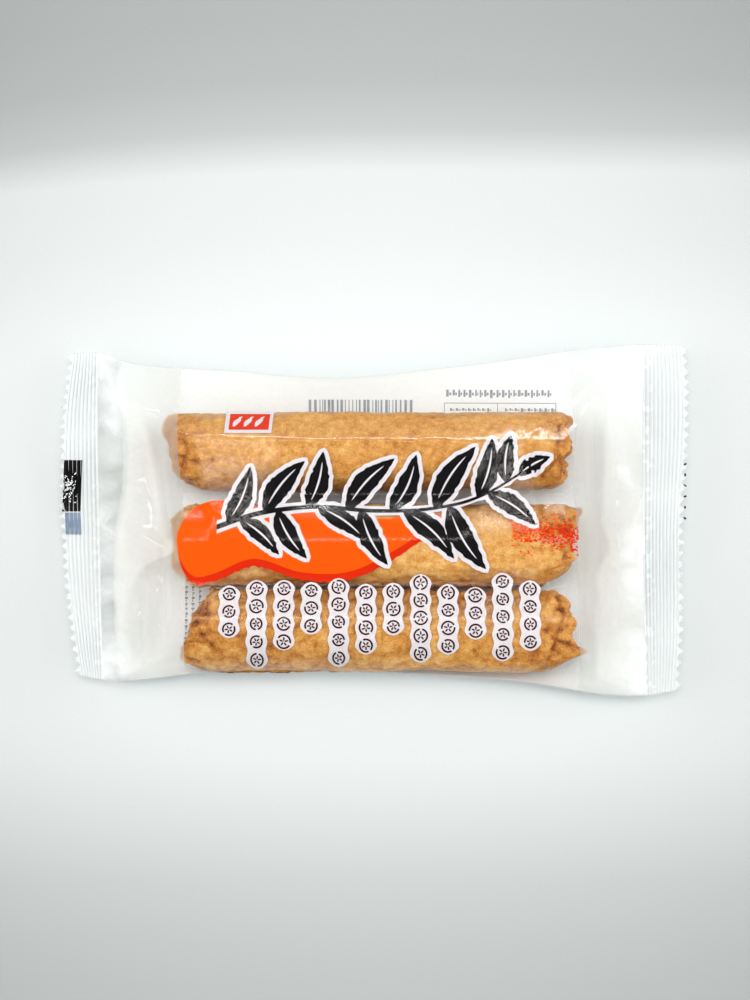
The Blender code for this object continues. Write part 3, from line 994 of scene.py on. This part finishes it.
# How many of each pattern there are to a metre, and the size of one in mm
FILM_RIPPLES = 260.0  # 3.8
OIL_SPECKS = 1500.0  # 0.7
PIGMENT_CLOUDS = 900.0  # 1.1
INK_MOTTLE = 420.0  # 2.4
SKIN_BLISTERS = 700.0  # 1.4
SKIN_GRAIN = 2200.0  # 0.45
SKIN_PITS = 1100.0  # 0.9
PAPER_FIBRES = 1500.0  # 0.7, coarser than real ones, which wouldn't show

FILM_MIRROR = 0.035  # how much the film mirrors, seen face on


def paint(hex_colour):
    """An sRGB hex value as linear colour."""
    channels = [int(hex_colour[i:i + 2], 16) / 255 for i in (1, 3, 5)]
    linear = [c / 12.92 if c <= 0.04045 else ((c + 0.055) / 1.055) ** 2.4 for c in channels]
    return (*linear, 1.0)


def add(tree, kind, inputs=(), **settings):
    """A shader node with its settings, its inputs set to values or linked to other nodes' outputs."""
    made = tree.nodes.new("ShaderNode" + kind)
    for name, value in settings.items():
        setattr(made, name, value)
    for socket, value in dict(inputs).items():
        if isinstance(value, bpy.types.NodeSocket):
            tree.links.new(value, made.inputs[socket])
        else:
            made.inputs[socket].default_value = value
    return made


def new_material(name):
    material = bpy.data.materials.new(name)
    material.use_nodes = True
    tree = material.node_tree
    tree.nodes.clear()
    return material, tree


def show(tree, shader):
    add(tree, "OutputMaterial", {"Surface": shader})


def mirror_share(tree, strength, wetting):
    """How much a film mirrors: little face on, more at a slant, the same from both sides, and less in
    the specks that oil wets."""
    grainy = add(tree, "MapRange", {"Value": wetting, "From Min": 0.42, "From Max": 0.58,
                                    "To Min": 0.4 * strength, "To Max": 1.6 * strength}).outputs[0]
    slant = add(tree, "LayerWeight", {"Blend": 0.5}).outputs["Facing"]
    steep = add(tree, "Math", {0: slant, 1: 5.0}, operation="POWER").outputs[0]
    return add(tree, "MapRange", {"Value": steep, "To Min": grainy, "To Max": 0.6}).outputs[0]


def laminated_film(name, crimped=False):
    """Clear laminate of polypropylene and polyethylene, cast smooth: see-through, and mirrors softly. The
    heat-sealed ends are milky, with a painted grey shade line in the trough at the foot of each rib of the
    crimp jaws, and beside them the film has milky facet-shaped patches that are partly painted glare."""
    material, tree = new_material(name)
    place = add(tree, "TexCoord").outputs["Object"]
    ripple = add(tree, "TexNoise", {"Vector": place, "Scale": FILM_RIPPLES, "Detail": 3.0}).outputs["Fac"]
    bump = add(tree, "Bump", {"Height": ripple, "Strength": 0.10, "Distance": 0.0004}).outputs[0]
    clear = add(tree, "BsdfTransparent", {"Color": (0.995, 0.998, 0.997, 1)}).outputs[0]
    gloss = add(tree, "BsdfGlossy", {"Color": (1, 1, 1, 1), "Roughness": 0.15, "Normal": bump}).outputs[0]
    wetting = add(tree, "TexNoise", {"Vector": place, "Scale": OIL_SPECKS, "Detail": 2.0}).outputs["Fac"]
    mirrors = mirror_share(tree, FILM_MIRROR, wetting)
    film = add(tree, "MixShader", {0: mirrors, 1: clear, 2: gloss}).outputs[0]
    white = paint("#F9FBFB")
    if crimped:
        # Painted shade: a grey line in the trough at the foot of each crimp rib
        ribs = add(tree, "Attribute", attribute_name="painted_rib_shade").outputs["Fac"]
        white = add(tree, "Mix", {0: ribs, 6: white, 7: paint("#B4BFC7")}, data_type="RGBA").outputs[2]
    milk = add(tree, "BsdfDiffuse", {"Color": white, "Normal": bump}).outputs[0]
    # The milk: real in the seals; beside them, facet-shaped patches that are partly painted glare
    haze_and_glare = add(tree, "Attribute", attribute_name="haze_and_glare").outputs["Fac"]
    show(tree, add(tree, "MixShader", {0: haze_and_glare, 1: film, 2: milk}).outputs[0])
    return material


def white_ink(name, cover):
    """Reverse-printed white ink: fine pigment that scatters light forwards as well as back. The thin ink on
    the front film has a creamy grey painted shade beside the rolls."""
    material, tree = new_material(name)
    place = add(tree, "TexCoord").outputs["Object"]
    cloud = add(tree, "TexNoise", {"Vector": place, "Scale": PIGMENT_CLOUDS, "Detail": 4.0}).outputs["Fac"]
    dull, pale = ("#F1F8FA", "#F6FBFC") if cover == 1 else ("#F9F9F4", "#FEFDF8")
    tint = add(tree, "Mix", {0: cloud, 6: paint(dull), 7: paint(pale)}, data_type="RGBA").outputs[2]
    if cover < 1:
        # Painted shade: creamy grey beside the rolls, where shade falls
        painted_shade = add(tree, "Attribute", attribute_name="painted_shade").outputs["Fac"]
        tint = add(tree, "Mix", {0: painted_shade, 6: tint, 7: paint("#D0D1CB")}, data_type="RGBA").outputs[2]
    back = add(tree, "BsdfDiffuse", {"Color": tint}).outputs[0]
    forward = add(tree, "BsdfTranslucent", {"Color": tint}).outputs[0]
    forward_share = 0.4 if cover < 1 else 0.07
    ink = add(tree, "MixShader", {0: forward_share, 1: back, 2: forward}).outputs[0]
    if cover < 1:
        clear = add(tree, "BsdfTransparent").outputs[0]
        ink = add(tree, "MixShader", {0: cover, 1: clear, 2: ink}).outputs[0]
    show(tree, ink)
    return material


def printing_ink(name, colour, second, outside=False):
    """Gravure ink: flat and dense, with the faint mottle of its cells. It is matt under the film, and
    glossy on the seals, where it lies bare."""
    material, tree = new_material(name)
    place = add(tree, "TexCoord").outputs["Object"]
    mottle = add(tree, "TexNoise", {"Vector": place, "Scale": INK_MOTTLE, "Detail": 5.0}).outputs["Fac"]
    spread = add(tree, "MapRange", {"Value": mottle, "From Min": 0.3, "From Max": 0.7}).outputs[0]
    tint = add(tree, "Mix", {0: spread, 6: paint(colour), 7: paint(second)}, data_type="RGBA").outputs[2]
    if outside:
        show(tree, add(tree, "BsdfPrincipled", {"Base Color": tint, "Roughness": 0.14}).outputs[0])
    else:
        show(tree, add(tree, "BsdfDiffuse", {"Color": tint}).outputs[0])
    return material


def fried_skin():
    """Fried fish-paste skin: golden, greasy and finely blistered, darker in its wrinkles, browner at its
    ends, painted darker low on its sides as shade, and painted paler in grainy specks where the film spans
    clear of it, a painted haze of the light the film scatters there."""
    material, tree = new_material("fried_fish_cake_skin")
    place = add(tree, "TexCoord").outputs["Object"]
    brown = add(tree, "Attribute", attribute_name="browning_and_shade").outputs["Fac"]
    fine = add(tree, "TexNoise", {"Vector": place, "Scale": SKIN_BLISTERS, "Detail": 4.0,
                                  "Roughness": 0.6}).outputs["Fac"]
    grain = add(tree, "TexNoise", {"Vector": place, "Scale": SKIN_GRAIN, "Detail": 2.0}).outputs["Fac"]
    uneven = add(tree, "Math", {0: fine, 1: 0.6, 2: brown}, operation="MULTIPLY_ADD").outputs[0]
    uneven = add(tree, "Math", {0: grain, 1: 0.62, 2: uneven}, operation="MULTIPLY_ADD").outputs[0]
    uneven = add(tree, "Math", {0: uneven, 1: 0.61}, operation="SUBTRACT").outputs[0]
    ramp = add(tree, "ValToRGB", {0: uneven})
    stops = [(0.1, "#E9C186"), (0.35, "#DDA75C"), (0.55, "#CC8E42"), (0.8, "#A96627"), (1.0, "#763B13")]
    for stop, (position, colour) in zip(range(len(stops)), stops):
        made = ramp.color_ramp.elements[stop] if stop < 2 else ramp.color_ramp.elements.new(position)
        made.position = position
        made.color = paint(colour)
    pits = add(tree, "TexVoronoi", {"Vector": place, "Scale": SKIN_PITS}, feature="F1").outputs["Distance"]
    speck = add(tree, "MapRange", {"Value": pits, "From Min": 0.10, "From Max": 0.24,
                                   "To Min": 0.22, "To Max": 0.0}).outputs[0]
    colour = add(tree, "Mix", {0: speck, 6: ramp.outputs[0], 7: paint("#96561F")},
                 data_type="RGBA").outputs[2]
    # Painted haze: paler in grainy specks where the film spans clear of the roll
    painted_haze = add(tree, "Attribute", attribute_name="painted_haze").outputs["Fac"]
    grainy = add(tree, "MapRange", {"Value": grain, "From Min": 0.46, "From Max": 0.6,
                                    "To Min": 0.0, "To Max": 0.9}).outputs[0]
    paler = add(tree, "Math", {0: painted_haze, 1: grainy}, operation="MULTIPLY").outputs[0]
    colour = add(tree, "Mix", {0: paler, 6: colour, 7: paint("#EBC9AA")}, data_type="RGBA").outputs[2]
    height = add(tree, "Math", {0: grain, 1: 0.5, 2: fine}, operation="MULTIPLY_ADD").outputs[0]
    bump = add(tree, "Bump", {"Height": height, "Strength": 0.55, "Distance": 0.0005}).outputs[0]
    skin = add(tree, "BsdfPrincipled", {
        "Base Color": colour,
        "Roughness": 0.42,
        "Normal": bump,
        "Subsurface Weight": 0.18,
        "Subsurface Radius": (1.0, 0.45, 0.2),
        "Subsurface Scale": 0.0015,
        "Specular IOR Level": 0.3,
        "Coat Weight": 0.08,
        "Coat Roughness": 0.25,
    })
    show(tree, skin.outputs[0])
    return material


def studio_paper():
    """Plain pale paper sweep: matt, with painted shade: darker by the edges of the light tent it stands in,
    and towards both sides.
    """
    material, tree = new_material("studio_paper")
    place = add(tree, "TexCoord").outputs["Object"]
    x, y, _ = add(tree, "SeparateXYZ", {0: place}).outputs
    leftwards = add(tree, "Math", {0: x, 1: 0.0}, operation="MINIMUM").outputs[0]
    lean = add(tree, "Math", {0: leftwards, 1: leftwards}, operation="MULTIPLY").outputs[0]
    beyond = add(tree, "Math", {0: y, 1: 0.0}, operation="GREATER_THAN").outputs[0]
    lean = add(tree, "Math", {0: lean, 1: beyond}, operation="MULTIPLY").outputs[0]
    y = add(tree, "Math", {0: lean, 1: TENT_LEAN, 2: y}, operation="MULTIPLY_ADD").outputs[0]
    first, last = PAINTED_PAPER_SHADE[0][0], PAINTED_PAPER_SHADE[-1][0]
    far = add(tree, "MapRange", {"Value": y, "From Min": first, "From Max": last}).outputs[0]
    ramp = add(tree, "ValToRGB", {0: far})
    stops = ramp.color_ramp.elements
    for k, (where, level) in enumerate(PAINTED_PAPER_SHADE):
        position = (where - first) / (last - first)
        stop = stops[k] if k < 2 else stops.new(position)
        stop.position = position
        stop.color = (level * 0.965, level, level * 0.992, 1)
    sideways = add(tree, "Math", {0: x, 1: x}, operation="MULTIPLY").outputs[0]
    dim = add(tree, "Math", {0: sideways, 1: -SIDE_DIM, 2: PAPER_LEVEL}, operation="MULTIPLY_ADD").outputs[0]
    dim = add(tree, "Math", {0: dim, 1: DIMMEST}, operation="MAXIMUM").outputs[0]
    fibres = add(tree, "TexNoise", {"Vector": place, "Scale": PAPER_FIBRES, "Detail": 3.0}).outputs["Fac"]
    dim = add(tree, "Math", {0: fibres, 1: 0.05, 2: dim}, operation="MULTIPLY_ADD").outputs[0]
    tint = add(tree, "Mix", {0: 1.0, 6: ramp.outputs[0], 7: dim}, data_type="RGBA",
               blend_type="MULTIPLY").outputs[2]
    show(tree, add(tree, "BsdfDiffuse", {"Color": tint}).outputs[0])
    return material


# ---------------------------------------------------------------- floor, light and camera

def paper_sweep():
    """The floor, turned up softly behind the bag."""
    bm = bmesh.new()
    half_wide, turn_from, radius = 1.6, 0.42, 0.9
    profile = [(-half_wide, 0.0), (turn_from, 0.0)]
    for a in np.linspace(0.05, 1.45, 18):
        profile.append((turn_from + radius * math.sin(a), radius * (1 - math.cos(a))))
    verts = [bm.verts.new((-half_wide, y, z)) for y, z in profile]
    edges = [bm.edges.new(pair) for pair in zip(verts, verts[1:])]
    grown_edges = bmesh.ops.extrude_edge_only(bm, edges=edges)["geom"]
    moved = [v for v in grown_edges if isinstance(v, bmesh.types.BMVert)]
    bmesh.ops.translate(bm, verts=moved, vec=(2 * half_wide, 0, 0))
    bmesh.ops.recalc_face_normals(bm, faces=bm.faces)
    if sum(f.normal.z for f in bm.faces) < 0:
        bmesh.ops.reverse_faces(bm, faces=bm.faces)
    mesh = bpy.data.meshes.new("floor")
    bm.to_mesh(mesh)
    bm.free()
    mesh.materials.append(studio_paper())
    mesh.shade_smooth()
    floor = bpy.data.objects.new("floor", mesh)
    bpy.context.scene.collection.objects.link(floor)


def softbox(name, place, aim, size, power, colour, lights=True, glares=True):
    """A soft-edged rectangular light aimed at a point. It lights matt surfaces, shows as glare, or both."""
    lamp = bpy.data.lights.new(name, "AREA")
    lamp.shape = "RECTANGLE"
    lamp.size, lamp.size_y = size
    lamp.energy = power
    lamp.color = colour
    lamp.use_nodes = True
    tree = lamp.node_tree
    place_on_box = add(tree, "NewGeometry").outputs["Parametric"]
    fade = 16.0
    for along in add(tree, "SeparateXYZ", {0: place_on_box}).outputs[:2]:
        to_edge = add(tree, "Math", {0: 1.0, 1: along}, operation="SUBTRACT").outputs[0]
        fade = add(tree, "Math", {0: fade, 1: along}, operation="MULTIPLY").outputs[0]
        fade = add(tree, "Math", {0: fade, 1: to_edge}, operation="MULTIPLY").outputs[0]
    tree.links.new(fade, tree.nodes["Emission"].inputs["Strength"])
    light = bpy.data.objects.new(name, lamp)
    bpy.context.scene.collection.objects.link(light)
    light.location = place
    light.rotation_euler = (Vector(aim) - Vector(place)).to_track_quat("-Z", "Y").to_euler()
    light.visible_diffuse = lights
    light.visible_glossy = glares


def lights():
    world = bpy.data.worlds.new("room")
    world.use_nodes = True
    sky = world.node_tree.nodes["Background"]
    sky.inputs["Color"].default_value = (0.965, 1.0, 0.99, 1)
    sky.inputs["Strength"].default_value = 0.42
    world.cycles_visibility.glossy = False
    bpy.context.scene.world = world
    white, warm = (1.0, 1.0, 1.0), (1.0, 0.93, 0.87)
    softbox("overhead", (0.0, 0.10, 0.80), (0, 0, 0), (0.7, 0.5), 10.0, white, glares=False)
    for side, x in (("left", -0.75), ("right", 0.75)):
        softbox(f"{side}_wall", (x, 0.0, 0.30), (0, 0, 0), (1.2, 0.7), 10.2, white, glares=False)
        softbox(f"{side}_glare", (x, 0.0, 0.30), (0, 0, 0), (1.2, 0.7), 2.4, white, lights=False)
    softbox("glare_panel", (0.0, 0.085, 0.80), (0, 0, 0), (1.3, 0.12), 1.9, warm, lights=False)
    softbox("glare_strip", (0.0, 0.80, 0.67), (0, 0, 0.02), (1.4, 0.18), 14.0, white, lights=False)


def camera():
    """Almost straight down on the bag, from its near side."""
    reach, lean, frame_width = 0.52, math.radians(84), 0.1875
    aim = Vector((0.0, 0.0045, 0.007))
    lens = bpy.data.cameras.new("camera")
    lens.sensor_fit = "HORIZONTAL"
    lens.sensor_width = 36
    lens.lens = lens.sensor_width * reach / frame_width
    lens.clip_start = 0.01
    view = bpy.data.objects.new("camera", lens)
    bpy.context.scene.collection.objects.link(view)
    view.location = aim + Vector((0, -math.cos(lean), math.sin(lean))) * reach
    view.rotation_euler = (math.pi / 2 - lean, 0, 0)
    bpy.context.scene.camera = view


# ---------------------------------------------------------------- the whole bag

def main():
    clear = laminated_film("clear_laminated_film")
    sealed = laminated_film("heat_sealed_film", True)
    solid_white = white_ink("solid_white_ink", 1)
    thin_white = white_ink("thin_white_ink", 0.4)
    skin = fried_skin()
    orange = printing_ink("orange_ink", "#F45600", "#EE5200")
    red = printing_ink("red_ink", "#D62301", "#CE2A06")
    label_red = printing_ink("label_red_ink", "#DA371B", "#D43C20")
    black = printing_ink("black_ink", "#0B0A0C", "#131114")
    brown = printing_ink("brown_ink", "#3A1012", "#4A1A18")
    lilac_white = printing_ink("label_white_ink", "#D6CFD2", "#DED8DA")
    grey = printing_ink("grey_ink", "#565A62", "#6B6F78")
    faint = printing_ink("faint_grey_ink", "#8E949E", "#A4A9B2")
    slate = printing_ink("slate_ink", "#5E7088", "#6F8098")
    glossy_black = printing_ink("black_ink_on_seal", "#08080A", "#101012", True)
    worn = printing_ink("worn_ink", "#E6EAEC", "#F4F6F6")
    glossy_slate = printing_ink("slate_ink_on_seal", "#66788E", "#8495AA", True)

    film_bag([clear, sealed])
    back_seam(clear)
    depth = INK_DEPTHS["white_back_panel"]
    ink_sheet("white_back_panel", WHITE_LEFT, WHITE_RIGHT, lambda x, y: over_back(x, y, depth), solid_white)
    for name, left, right in (
        ("white_front_left", WHITE_LEFT, WINDOW_LEFT),
        ("white_front_right", WINDOW_RIGHT, WHITE_RIGHT),
    ):
        ink_sheet(name, left, right, lambda x, y: under_front(x, y, INK_DEPTHS["white_front"]),
                  thin_white, columns=40, rows=192)
    for name, roll in ROLLS.items():
        fried_roll(name, roll, skin)

    band, shade = wave_band()
    print_sheet("orange_band", [band], orange)
    print_sheet("orange_band_shade", [shade], red)
    red_flecks, orange_flecks = dry_flecks()
    print_sheet("dry_flecks_red", red_flecks, red)
    print_sheet("dry_flecks_orange", orange_flecks, orange)
    leaves, veins = leafy_branch()
    print_sheet("black_leaves", leaves, black)
    print_sheet("black_twig", [twig(TWIG, TWIG_WIDE)], black)
    print_sheet("leaf_veins", veins, lilac_white)
    for k in range(3):
        borders = [grown(leaf, LEAF_BORDER) for leaf in leaves[k::3]]
        print_sheet(f"leaf_borders_{k + 1}", borders, lilac_white)
    print_sheet("twig_border", [twig(TWIG, TWIG_BORDER_WIDE)], lilac_white)
    labels, marks = caption_columns()
    print_sheet("caption_columns", labels, lilac_white)
    print_sheet("caption_slices", marks, brown)
    print_sheet("label_border", [rectangle(-37.0, 19.6, -25.4, 25.6, 0.5)], lilac_white)
    print_sheet("label_red", [rectangle(-35.9, 20.5, -26.1, 24.8, 0.3)], label_red)
    label_leaves = [brush_leaf((x, 21.3), 52, 3.6, 1.3, 0.2, 40, 16)[0] for x in (-34.8, -32.1, -29.4)]
    print_sheet("label_leaves", label_leaves, lilac_white)
    mark, mark_end = cut_mark()
    print_sheet("cut_mark", mark, glossy_black, SEAL_PRINT_CELL, on_front)
    print_sheet("cut_mark_end", mark_end, glossy_slate, SEAL_PRINT_CELL, on_front)
    print_sheet("worn_flecks", worn_flecks(), worn, SEAL_PRINT_CELL, on_front)
    print_sheet("tooth_dots", tooth_dots(), glossy_black, height=on_front)
    stripes, rules = back_table()
    print_sheet("back_stripes", stripes, slate, height=under_back)
    print_sheet("back_table", rules, grey, height=under_back)
    print_sheet("back_stripes_show_through", stripes, faint, height=over_back)
    print_sheet("back_table_show_through", rules, faint, height=over_back)

    paper_sweep()
    lights()
    camera()
    scene = bpy.context.scene
    scene.view_settings.view_transform = "Standard"
    scene.cycles.transparent_max_bounces = 24


main()
